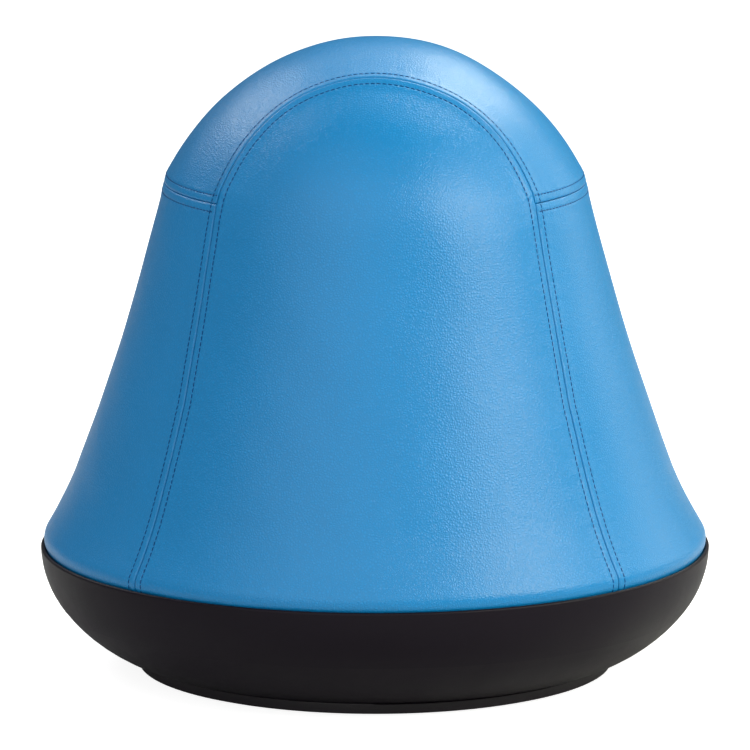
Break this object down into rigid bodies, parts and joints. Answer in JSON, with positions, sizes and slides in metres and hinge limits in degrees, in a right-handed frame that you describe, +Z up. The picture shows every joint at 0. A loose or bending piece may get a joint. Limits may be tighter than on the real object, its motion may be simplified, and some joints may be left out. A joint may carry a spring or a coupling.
{
  "type": "active sitting ball seat",
  "caption": "Bell-shaped balance seat: an air ball under a sewn blue vinyl cover, held in a black bowl that swivels on a low round foot.",
  "frame": {"origin": "on the floor, on the seat's own axis", "axes": "+Z up along the seat's axis, front towards -Y, +X to the right seen from the front"},
  "size_m": [0.61, 0.61, 0.5774],
  "materials": {
    "cover_vinyl": "pebble-grained vinyl leathercloth, semi-matt",
    "foam_lining": "foam-backed tricot lining",
    "bowl_plastic": "satin moulded polypropylene",
    "foot_plastic": "satin moulded polypropylene",
    "cradle_plastic": "satin moulded polypropylene",
    "hoop_plastic": "extruded polyethylene",
    "grip_rubber": "matt moulded rubber",
    "zinc_steel": "zinc-plated pressed steel",
    "screw_steel": "zinc-plated steel",
    "ball_steel": "polished bearing steel",
    "nylon": "moulded nylon",
    "ball_vinyl": "soft blown vinyl",
    "plug_plastic": "moulded polyethylene"
  },
  "bodies": {
    "base": {"foot_disc": "foot_plastic", "anti_slip_ring": "grip_rubber", "swivel_lower_plate": "zinc_steel", "lower_plate_screws": "screw_steel", "pivot_bolt": "screw_steel", "pivot_washer": "zinc_steel", "pivot_nut": "screw_steel"},
    "bearing": {"bearing_cage": "nylon", "bearing_balls": "ball_steel"},
    "seat": {"swivel_upper_plate": "zinc_steel", "upper_plate_screws": "screw_steel", "bowl_shell": "bowl_plastic", "ball_cradle": "cradle_plastic", "cradle_screws": "screw_steel", "air_ball": "ball_vinyl", "valve_seat": "ball_vinyl", "hem_hoop": "hoop_plastic", "hem_binding": "hoop_plastic", "hoop_screws": "screw_steel", "skirt_lining": "foam_lining", "front_panel": "cover_vinyl", "back_panel": "cover_vinyl", "left_side_panel": "cover_vinyl", "right_side_panel": "cover_vinyl"},
    "valve": {"valve_plug": "plug_plastic"},
    "crown": {"crown_panel": "cover_vinyl", "crown_pad": "foam_lining"}
  },
  "joints": [
    {"name": "swivel", "type": "hinge", "parent": "base", "child": "seat", "pos_m": [0, 0, 0.024], "axis": [0, 0, 1], "continuous": true},
    {"name": "bearing_orbit", "type": "hinge", "parent": "base", "child": "bearing", "pos_m": [0, 0, 0.0175], "axis": [0, 0, 1], "continuous": true},
    {"name": "crown_press", "type": "slide", "parent": "seat", "child": "crown", "axis": [0, 0, -1], "range_m": [0, 0.03], "stiffness_N_per_m": 20000, "deforming": ["front_panel", "back_panel", "left_side_panel", "right_side_panel", "skirt_lining", "air_ball"]},
    {"name": "valve_pull", "type": "slide", "parent": "seat", "child": "valve", "axis": [0, 0, -1], "range_m": [0, 0.015]}
  ],
  "couplings": [
    {"joint": "bearing_orbit", "follows": "swivel", "ratio": 0.5}
  ]
}
